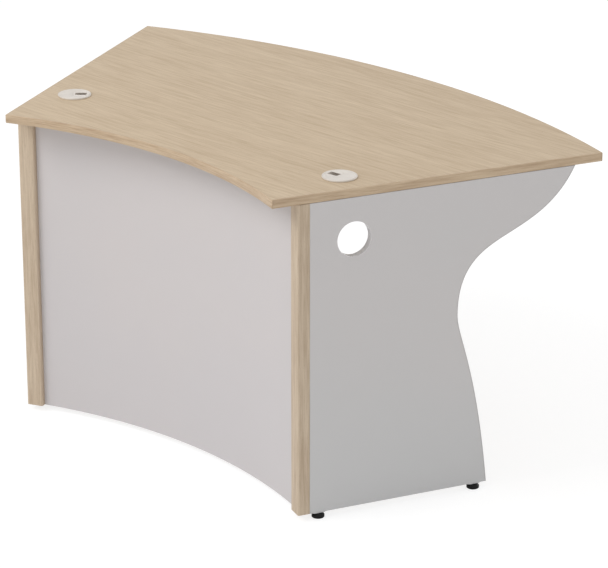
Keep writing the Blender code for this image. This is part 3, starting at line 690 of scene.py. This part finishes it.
# SIDE PANELS. Each is an 18 mm board faced with warm grey melamine. Its rear edge is a routed S
# with a 2 mm band of the same grey pressed on. An 80 mm hole lets cables through to the next
# desk. Dowels and two cam fittings hold the worktop on it.
side_front = post_back + gap
side_thickness = 0.018
wave_band = 0.002
wave_arris = 0.001
wave_top = 0.7265  # out from the inner radius, like the waist and the foot
waist = (0.4440, 0.4320)
foot_reach = 0.524
top_lean, top_drop = 0.32, 0.58
waist_rise, waist_drop = 0.68, 0.13
foot_lean, foot_rise = 0.38, 0.70
hole_radius = 0.040
hole_place = (inner_radius + 0.1925, 0.645)
hole_steps = 128
hole_cutter = 0.04
socket_bore = 0.0063
socket_steps = 48
nearly_flat = math.radians(0.05)
large_face = 0.0001
rows = ("front", "rear")


def wave_line(inset, steps=56):
    """The S from its top down, as (distance from the arcs' centre, height), moved in by an inset:
    one curve from the worktop to the waist, and one from the waist to the floor. The handles of
    the curves are shares of their reach and height."""
    top, middle, foot = Vector((wave_top, upright_high)), Vector(waist), Vector((foot_reach, upright_low))
    rise, fall = upright_high - waist[1], waist[1] - upright_low
    top_handle = Vector((top_lean * (wave_top - waist[0]), top_drop * rise))
    foot_handle = Vector((foot_lean * (foot_reach - waist[0]), -foot_rise * fall))
    curves = ((top, top - top_handle, middle + Vector((0, waist_rise * rise)), middle),
              (middle, middle - Vector((0, waist_drop * fall)), foot - foot_handle, foot))
    line = []
    for number, (first, leave, arrive, last) in enumerate(curves):
        for index in range(number, steps + 1):
            t = index / steps
            u = 1 - t
            spot = u ** 3 * first + 3 * u * u * t * leave + 3 * u * t * t * arrive + t ** 3 * last
            slope = u * u * (leave - first) + 2 * u * t * (arrive - leave) + t * t * (last - arrive)
            line.append((inner_radius + spot.x - inset * slope.length / abs(slope.y), spot.y))
    return line


def board_between(name, front_line, rear_line, thickness):
    """A board whose front and rear edges follow two lines of as many places: a flat grid whose
    corners are moved to the lines, then drawn out to its thickness."""
    rungs = len(rear_line) - 1
    made = add(name, bpy.ops.mesh.primitive_grid_add, x_subdivisions=1, y_subdivisions=rungs, size=1)
    for vertex in made.data.vertices:
        line = front_line if vertex.co.x < 0 else rear_line
        out, height = line[round((0.5 - vertex.co.y) * rungs)]
        vertex.co = (out, 0, height)
    bpy.ops.object.mode_set(mode="EDIT")
    bpy.ops.mesh.select_all(action="SELECT")
    bpy.ops.mesh.extrude_region_move(TRANSFORM_OT_translate={"value": (0, thickness, 0)})
    tidy_mesh()
    bpy.ops.object.mode_set(mode="OBJECT")
    return made


def shade_flat_faces(piece, least_area):
    """Shade the large flat faces of a piece as flat right up to their rims."""
    shading = [corner.vector.copy() for corner in piece.data.corner_normals]
    for face in piece.data.polygons:
        if face.area > least_area:
            for index in face.loop_indices:
                shading[index] = face.normal.copy()
    piece.data.normals_split_custom_set(shading)


panel_grey = facing("panel_grey", colour=seen(204, 200, 199), cool=seen(198, 198, 198), pearls=1500.0,
                    low_shade=0.8, sheen=0.46)
panel_edge_grey = facing("panel_edge_grey", colour=seen(196, 193, 191), cool=seen(190, 190, 190),
                         pearls=1100.0, low_shade=0.5, sheen=0.40)

# The routed wall of the hole is coloured near white: painted light, standing in for the light that falls on
# the wall.
tree = panel_grey.node_tree
finish = tree.nodes["Principled BSDF"].inputs["Base Color"]
along = along_arc(tree, put(tree, "TexCoord").outputs["Object"])
from_hole = put(tree, "Mapping", {"Vector": along, "Location": (0, -hole_place[0], -hole_place[1]),
                                  "Scale": (0, 1, 1)}).outputs[0]
distance = put(tree, "VectorMath", {0: from_hole}, operation="LENGTH").outputs["Value"]
painted_light_in_hole = worked(tree, "LESS_THAN", distance, hole_radius + gap)
tree.links.new(blended(tree, painted_light_in_hole, finish.links[0].from_socket, seen(234, 233, 234)), finish)

rear_line = wave_line(wave_band + gap)
panel = board_between("side_board_right", [(side_front, height) for _, height in rear_line], rear_line,
                      side_thickness)
bpy.ops.object.mode_set(mode="EDIT")
bpy.ops.mesh.select_all(action="SELECT")
bpy.ops.mesh.dissolve_limited(angle_limit=nearly_flat)
bpy.ops.object.mode_set(mode="OBJECT")
move_into(panel, end_frame(1))
hole_middle = end_frame(1) @ Vector((hole_place[0], side_thickness / 2, hole_place[1]))
hole_turn = in_right.to_track_quat("Z", "Y").to_euler()
cut_out(panel,
        rod("hole", hole_radius, hole_cutter, hole_middle, hole_steps, hole_turn),
        *bores("foot_socket_{}_right", rows, upwards, socket_bore, socket_steps),
        *bores("post_dowel_{}_right", heights, out_right, dowel_bore),
        *bores("worktop_dowel_{}_right", rows, upwards, dowel_bore),
        *bores("worktop_cam_bolt_{}_right", rows, upwards, bolt_shank_bore),
        *bores("worktop_cam_{}_right", rows, in_right, cam_bore, cam_steps))
for piece, node in ((mirrored(panel, "side_board_left"), "side_panel_left"), (panel, "side_panel_right")):
    soften(piece, board_ease)
    shade_flat_faces(piece, large_face)
    dress(piece, panel_grey, "counter", node)

outer_line = wave_line(0)
outer_places = [Vector((out, 0, height)) for out, height in outer_line]
strip = board_between("wave_band_right", wave_line(wave_band), outer_line, side_thickness)
round_off(strip, wave_arris, arris_steps,
          lambda middle, edge: is_edge_of_shape(edge) and abs(run_of(edge).y) < hair
          and all(min((Vector((end.co.x, 0, end.co.z)) - place).length for place in outer_places) < hair
                  for end in edge.verts))
move_into(strip, end_frame(1))
for piece, node in ((mirrored(strip, "wave_band_left"), "side_edge_left"), (strip, "side_edge_right")):
    soften(piece, 0)
    dress(piece, panel_edge_grey, "counter", node)

# LEVELLING FEET. A light grey nylon socket is pressed into the panel's lower edge, up to its
# oblong collar. A zinc plated stud with a 1.25 mm thread screws in it, and a round black pad with
# grip notches is moulded round the stud's head.
collar_length = 0.036
collar_width = side_thickness - 2 * gap
collar_thickness = 0.0018
collar_edge = 0.0005
collar_edge_steps = 4
socket_radius = 0.0060
socket_length = 0.026
socket_middle = upright_low + 0.012
stud_radius = 0.0040
stud_head = 0.0062
stud_length = 0.032
thread_pitch = 0.00125
thread_depth = 0.00055
thread_flank, thread_crest = 0.42, 0.16
thread_room = stud_radius + gap
thread_cutter = 0.08
thread_start = 0.001  # down in the head, out of sight
thread_doubled = 0.000005
pad_radius = 0.0145
pad_rim = 0.0010
pad_boss = 0.0108
pad_ease = 0.0002
collar_top = upright_low - gap
collar_low = collar_top - collar_thickness
pad_top = collar_low - gap
pad_floor = 0.28 * pad_top
pad_shoulder = 0.50 * pad_top
pad_ceiling = 0.68 * pad_top
pad_neck = 0.86 * pad_top
notches = 14
notch_radius = 0.0013
notch_reach = pad_radius + 0.0004
notch_cutter = 0.03
notch_steps = 20
dull_roughness = 0.18

zinc, given, result = new_group(
    "Plated metal",
    {"Vector": "Vector", "Bright": "Color", "Dull": "Color", "Brushing": "Float"}, skin_gives)
bloom = put(zinc, "TexNoise", {"Vector": given["Vector"], "Scale": 160.0, "Detail": 4.0}).outputs["Fac"]
brushed = stretched_noise(zinc, given["Vector"], along=300.0, across=4200.0, detail=2.0)
dull = worked(zinc, "ADD", spread(zinc, bloom, low=0.42, high=0.68),
              worked(zinc, "MULTIPLY", brushed, given["Brushing"]))
give(zinc, result,
     Colour=blended(zinc, dull, given["Bright"], given["Dull"]),
     Roughness=worked(zinc, "MULTIPLY", dull, dull_roughness),
     Height=brushed)


def metal(name, bright, dulled, brushing, sheen, metallic):
    """A plated or cast metal finish."""
    made = finished(name, zinc, {"Bright": bright, "Dull": dulled, "Brushing": brushing}, sheen,
                    relief=0.000004, gloss_level=0.5)
    made.node_tree.nodes["Principled BSDF"].inputs["Metallic"].default_value = metallic
    return made


zinc_steel = metal("zinc_steel", bright=seen(205, 207, 212), dulled=seen(172, 175, 180), brushing=0.5,
                   sheen=0.24, metallic=1.0)
collar_grey = plastic("collar_grey", colour=seen(203, 203, 203), tint=seen(190, 190, 191), cells=1900.0,
                      scuffs=0.15, sheen=0.38, relief=0.00003)
foot_black = plastic("foot_black", colour=seen(12, 12, 13), tint=seen(21, 20, 20), cells=1500.0,
                     scuffs=0.35, sheen=0.46, relief=0.00005, gloss_level=0.22)


def threaded_rod(name, low, high, outer, depth, pitch, spare_turns=2, steps=32):
    """A V thread: one pitch of its profile, screwed up round the axis, and sawn off level."""
    made = drawn_line(name, (outer - depth, 0, low - spare_turns * pitch),
                      ((depth, 0, pitch * thread_flank), (0, 0, pitch * thread_crest),
                       (-depth, 0, pitch * thread_flank)))
    bpy.ops.object.mode_set(mode="OBJECT")
    screw = made.modifiers.new("thread", "SCREW")
    screw.screw_offset = pitch
    screw.iterations = math.ceil((high - low) / pitch) + spare_turns + 1
    screw.steps = screw.render_steps = steps
    screw.use_merge_vertices = True
    bpy.ops.object.modifier_apply(modifier=screw.name)
    bpy.ops.object.mode_set(mode="EDIT")
    bpy.ops.mesh.select_all(action="SELECT")
    bpy.ops.mesh.remove_doubles(threshold=thread_doubled)
    for height, way in ((low, -1), (high, 1)):
        bpy.ops.mesh.select_all(action="SELECT")
        bpy.ops.mesh.bisect(plane_co=(0, 0, height), plane_no=(0, 0, way), use_fill=True, clear_outer=True)
    tidy_mesh()
    bpy.ops.object.mode_set(mode="OBJECT")
    return made


socket = rod("foot_collar", collar_width / 2, collar_thickness, (0, 0, (collar_low + collar_top) / 2))
apply_place(socket)
bpy.ops.object.mode_set(mode="EDIT")
for way in (-1, 1):
    choose("VERT", lambda middle, corner: way * middle.x > gap)
    bpy.ops.transform.translate(value=(way * (collar_length - collar_width) / 2, 0, 0))
bpy.ops.object.mode_set(mode="OBJECT")
round_off(socket, collar_edge, collar_edge_steps, lambda middle, edge: middle.z < collar_low + hair)
combine(socket, "UNION", [rod("sleeve", socket_radius, socket_length, (0, 0, socket_middle))])
cut_out(socket, rod("thread", thread_room, thread_cutter))
soften(socket, 0)

pad = turned("foot_disc", [
    (0, 0), (pad_radius - pad_rim, 0), (pad_radius, pad_rim), (pad_radius, pad_shoulder),
    (pad_boss, pad_neck), (pad_boss, pad_top), (thread_room, pad_top), (thread_room, pad_ceiling),
    (stud_head + gap, pad_ceiling), (stud_head + gap, pad_floor), (0, pad_floor)], Matrix.Identity(4))
for number in range(notches):
    angle = 2 * math.pi * number / notches
    cut_out(pad, rod("notch", notch_radius, notch_cutter,
                     (notch_reach * math.cos(angle), notch_reach * math.sin(angle), 0), notch_steps))
soften(pad, pad_ease)

stud_low, stud_shoulder = pad_floor + gap, pad_ceiling - gap
stud = threaded_rod("foot_screw", pad_ceiling - thread_start, stud_low + stud_length, stud_radius,
                    thread_depth, thread_pitch)
combine(stud, "UNION",
        [rod("head", stud_head, stud_shoulder - stud_low, (0, 0, (stud_low + stud_shoulder) / 2))])
soften(stud, 0)

for end, side in reversed(both_ends):
    for row in rows:
        foot = row + "_" + end
        spot = middle_of("foot_pad_" + foot)
        spot.z = 0
        here = Matrix.Translation(spot) @ Matrix.Rotation(math.pi / 2 - side * half_angle, 4, "Z")
        for pattern, name, material, slot, body, node in (
                (socket, "foot_collar_", collar_grey, "collar_grey", "counter", "foot_socket_" + foot),
                (stud, "foot_screw_", zinc_steel, "zinc_steel", "stud_" + foot, "foot_stud_" + foot),
                (pad, "foot_disc_", foot_black, "foot_black", "pad_" + foot, "foot_pad_" + foot)):
            piece = copied(pattern, name + foot)
            move_into(piece, here)
            dress(piece, material, body, node)
for pattern in (socket, stud, pad):
    bpy.data.objects.remove(pattern)

# CAM FITTINGS AND DOWELS. Each cam is a die-cast zinc drum in a pocket, flush with its board. Half
# a turn in its cross slot draws the bolt in. The bolts and the beech dowels are out of sight in
# their bores, and keep their loaded meshes.
cam_radius = 0.0072
cam_rim = 0.0012
cam_recess = 0.0004
cam_ease = 0.00015
cam_cross = (0.0074, 0.0013, 0.0050)
mark_radius = 0.0011
mark_depth = 0.0016
mark_reach = 0.0046
quarter_turn = math.pi / 2

cam_zinc = metal("cam_zinc", bright=seen(206, 206, 207), dulled=seen(178, 178, 180), brushing=0.3,
                 sheen=0.38, metallic=0.75)
for node, way in (("worktop_cam_front_right", in_right), ("worktop_cam_rear_right", in_right),
                  ("fascia_cam_right", out_right)):
    length = length_along(node, way, cam_radius)
    drum = rod("cam", cam_radius, length)
    bpy.ops.object.mode_set(mode="EDIT")
    choose("FACE", lambda middle, face: middle.z > length / 2 - gap)
    bpy.ops.mesh.inset(thickness=cam_rim)
    bpy.ops.mesh.extrude_region_move(TRANSFORM_OT_translate={"value": (0, 0, -cam_recess)})
    bpy.ops.object.mode_set(mode="OBJECT")
    for turn in (0, quarter_turn):
        cut_out(drum, block("arm", cam_cross, (0, 0, length / 2), turn))
    cut_out(drum, rod("mark", mark_radius, mark_depth, (mark_reach, 0, length / 2), steps=3,
                      turn=(0, 0, -quarter_turn)))
    drum_turn = way.to_track_quat("Z", "Y").to_matrix().to_4x4()
    move_into(drum, Matrix.Translation(middle_of(node)) @ drum_turn)
    bolt_way = in_right if node.startswith("fascia") else upwards
    cut_out(drum, bore(node.replace("cam", "cam_bolt"), bolt_way, bolt_shank_bore))
    drum.name = drum.data.name = node.replace("cam", "cam_drum")
    left_drum = mirrored(drum, drum.name.replace("_right", "_left"))
    for piece, stands_for in ((left_drum, node.replace("_right", "_left")), (drum, node)):
        soften(piece, cam_ease)
        dress(piece, cam_zinc, "counter", stands_for)

# The dowels lie three ways, so their grain is drawn out only a little.
beech = oak("beech", pale=seen(214, 184, 144), brown=seen(188, 152, 110), streaks=1.0, pores=0.6,
            sheen=0.58, relief=0.00008, lay=grain_laid(Scale=(6.0, 2.0, 6.0)))
for name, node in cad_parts.items():
    if "dowel" in name:
        node.material_slots[0].material = beech
    if "cam_bolt" in name:
        node.material_slots[0].material = zinc_steel

# STEEL ANGLES. Two zinc plated angles behind the fascia, right under the worktop, keep the boards
# from parting between the cam fittings. Each is a pressed 2 mm strip with one chipboard screw in
# each leg.
angle_leg = 0.025
angle_width = 0.022
angle_thickness = 0.002
angle_bend = 0.0018
angle_corner = 0.0035
angle_steps = 5
angle_ease = 0.0002
angle_place = 0.45  # share of the way to the radial end
angle_hole = 0.0021
screw_reach = 0.015
screw_length = 0.0131
screw_point = 0.0022
screw_core = 0.0013
screw_steps = 48
pan_head = ((0, 0.0013), (0.0012, 0.0016), (0.0022, 0.0014), (0.0031, 0.0009), (0.0035, 0.0003), (0.0035, 0))
cross_size = (0.0034, 0.0006, 0.0020)
cross_height = 0.0016
faces_that_way = 0.9

screw_line = [*pan_head, (screw_core, 0), (screw_core, screw_point - screw_length), (0, -screw_length)]
tip = gap + angle_leg
for name, side in both_ends:
    turn = side * angle_place * half_angle
    corner = arc_centre + Vector((post_back * math.sin(turn), post_back * math.cos(turn), board_low))
    here = Matrix.Translation(corner) @ Matrix.Rotation(math.pi / 2 - turn, 4, "Z")
    angle = block("fixing_angle_" + name, (angle_thickness, angle_width, angle_leg - angle_thickness),
                  (gap + angle_thickness / 2, 0, -gap - (angle_leg + angle_thickness) / 2))
    bpy.ops.object.mode_set(mode="EDIT")
    choose("FACE", lambda middle, face: face.normal.z > faces_that_way)
    bpy.ops.mesh.extrude_region_move(TRANSFORM_OT_translate={"value": (0, 0, angle_thickness)})
    choose("FACE", lambda middle, face: face.normal.x > faces_that_way and middle.z > -gap - angle_thickness)
    bpy.ops.mesh.extrude_region_move(TRANSFORM_OT_translate={"value": (angle_leg - angle_thickness, 0, 0)})
    tidy_mesh()
    bpy.ops.object.mode_set(mode="OBJECT")
    round_off(angle, angle_bend, angle_steps,
              lambda middle, edge: abs(run_of(edge).y) > angle_width / 2
              and middle.x < gap + angle_thickness / 4 and middle.z > -gap - angle_thickness / 4)
    round_off(angle, angle_corner, angle_steps,
              lambda middle, edge: abs(run_of(edge).y) < gap and abs(middle.y) > angle_width / 3
              and edge.calc_length() < angle_thickness + gap
              and (middle.x > tip - gap or middle.z < gap - tip))
    move_into(angle, here)
    for kind, way in (("worktop_screw_", upwards), ("fascia_screw_", here.to_3x3() @ Vector((1, 0, 0)))):
        cut_out(angle, bore(kind + name, way, angle_hole))
    soften(angle, angle_ease)
    dress(angle, zinc_steel, "counter", "fascia_bracket_" + name)

    head_seat = gap + angle_thickness + gap
    for kind, spot, head_turn in (
            ("worktop_screw_", (screw_reach, 0, -head_seat), Matrix.Rotation(math.pi, 4, "X")),
            ("fascia_screw_", (head_seat, 0, -screw_reach), Matrix.Rotation(quarter_turn, 4, "Y"))):
        screw = turned(kind + "pan_head_" + name, screw_line, Matrix.Identity(4), screw_steps)
        for cross in (0, quarter_turn):
            cut_out(screw, block("arm", cross_size, (0, 0, cross_height), cross))
        move_into(screw, here @ Matrix.Translation(spot) @ head_turn)
        soften(screw, 0)
        dress(screw, zinc_steel, "counter", kind + name)

# THE ROOM. A pale seamless floor, a soft lamp high on the left in front, two weaker ones on the
# right and behind, and even light all round.
# The camera stands where the photograph was taken from, to the right in front of the counter.
floor_size = 60
floor_roughness = 0.9
floor_glow = 1.2
floor_glow_share = 0.62
room_light = 0.62
white = (1, 1, 1, 1)
camera_place = (4.5349, -4.6154, 2.8143)
yaw, pitch = 2.3363, 0.3658
sensor_width = 36.0
picture_width_pixels = 608
focal_length_pixels = 2944.8


def seen_directly(tree):
    """1 for what the camera sees, also in a mirror or through glass, and 0 for what lights."""
    rays = put(tree, "LightPath").outputs
    return worked(tree, "MAXIMUM", worked(tree, "MAXIMUM", rays["Is Camera Ray"], rays["Is Glossy Ray"]),
                  rays["Is Transmission Ray"])


def mix_surface(tree, share, first, second, output):
    """Mix two shaders, and end a tree with them."""
    both = put(tree, "MixShader", {0: share, 1: first.outputs[0], 2: second.outputs[0]})
    tree.links.new(both.outputs[0], tree.nodes[output].inputs["Surface"])


floor_material, tree, shader, place = new_material("pale_floor", gloss_level=0.2)
mottle = put(tree, "TexNoise", {"Vector": place, "Scale": 0.8, "Detail": 2.0}).outputs["Fac"]
tree.links.new(blended(tree, mottle, seen(240, 240, 240), seen(243, 243, 243)), shader.inputs["Base Color"])
shader.inputs["Roughness"].default_value = floor_roughness
glow = put(tree, "Emission", {"Color": white, "Strength": floor_glow})
mix_surface(tree, worked(tree, "MULTIPLY", seen_directly(tree), floor_glow_share), shader, glow,
            "Material Output")
floor = add("floor", bpy.ops.mesh.primitive_plane_add, size=floor_size)
floor.data.materials.append(floor_material)

world = bpy.data.worlds.new("soft_room")
bpy.context.scene.world = world
world.use_nodes = True
tree = world.node_tree
around = tree.nodes["Background"]
around.inputs["Color"].default_value = white
around.inputs["Strength"].default_value = room_light
backdrop = put(tree, "Background", {"Color": white, "Strength": 1.0})
mix_surface(tree, seen_directly(tree), around, backdrop, "World Output")


def soft_lamp(name, place, aim, size, power):
    """A square soft box that looks at a place."""
    bpy.ops.object.select_all(action="DESELECT")
    bpy.ops.object.light_add(type="AREA", location=place)
    lamp = bpy.context.object
    lamp.name = name
    lamp.data.shape = "SQUARE"
    lamp.data.size = size
    lamp.data.energy = power
    lamp.rotation_euler = (Vector(aim) - Vector(place)).to_track_quat("-Z", "Y").to_euler()


soft_lamp("key_lamp", place=(-2.2, -3.9, 4.5), aim=(0, -0.2, 0.4), size=2.8, power=146)
soft_lamp("fill_lamp", place=(4.5, -1.5, 2.6), aim=(0, 0, 0.4), size=3.0, power=20)
soft_lamp("back_lamp", place=(0.8, 4.6, 1.3), aim=(0, 0, 0.35), size=2.5, power=60)

bpy.ops.object.camera_add(location=camera_place)
camera = bpy.context.object
looking = Vector((math.cos(yaw) * math.cos(pitch), math.sin(yaw) * math.cos(pitch), -math.sin(pitch)))
camera.rotation_euler = looking.to_track_quat("-Z", "Y").to_euler()
camera.data.sensor_width = sensor_width
camera.data.lens = sensor_width * focal_length_pixels / picture_width_pixels
bpy.context.scene.camera = camera
bpy.context.scene.view_settings.view_transform = "Standard"
